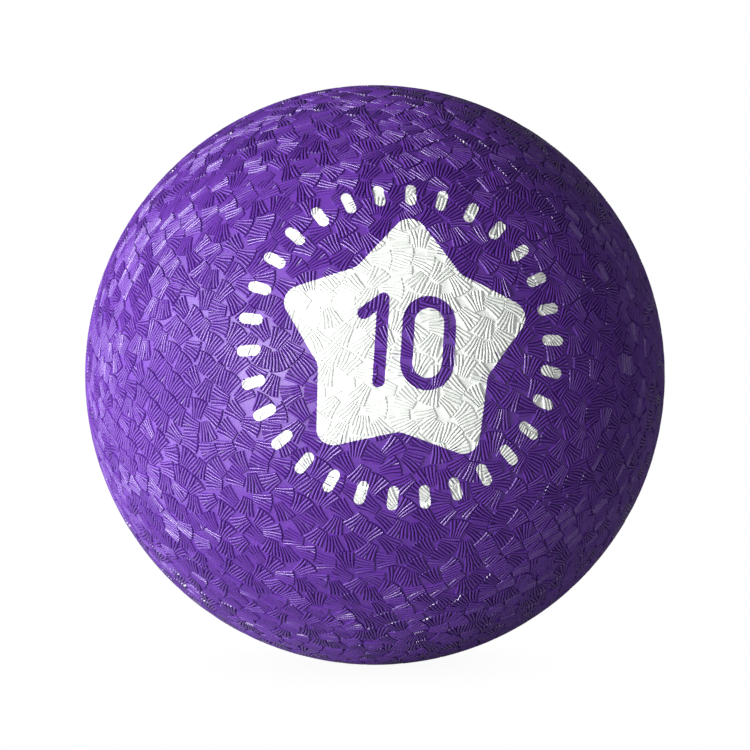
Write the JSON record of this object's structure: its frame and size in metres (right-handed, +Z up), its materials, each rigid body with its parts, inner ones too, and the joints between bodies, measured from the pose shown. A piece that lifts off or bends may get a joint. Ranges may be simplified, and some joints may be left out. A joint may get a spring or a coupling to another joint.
{
  "type": "dodgeball",
  "caption": "Inflatable two-ply rubber playground ball with a moulded ribbed-fan grip pattern, a white print with the size number, and a self-sealing needle valve.",
  "frame": {"origin": "centre of the ball, which is the centre of its bounding box", "axes": "+Z up as the ball sits in the picture, -Y towards the printed front, +Y out through the valve at the back, +X to the right seen from the front"},
  "size_m": [0.254, 0.2537, 0.254],
  "materials": {
    "purple_cover_rubber": "glossy, vulcanised in a polished mould",
    "black_butyl_rubber": "matte, talc-dusted",
    "black_boot_rubber": "satin, moulded",
    "dark_plug_rubber": "satin, moulded",
    "white_screen_print_ink": "semi-gloss ink film over the moulded pattern"
  },
  "bodies": {
    "root": {"outer_cover": "purple_cover_rubber", "bladder": "black_butyl_rubber", "valve_boot": "black_boot_rubber", "valve_plug": "dark_plug_rubber", "star_print": "white_screen_print_ink", "dash_print": "white_screen_print_ink"}
  },
  "joints": []
}
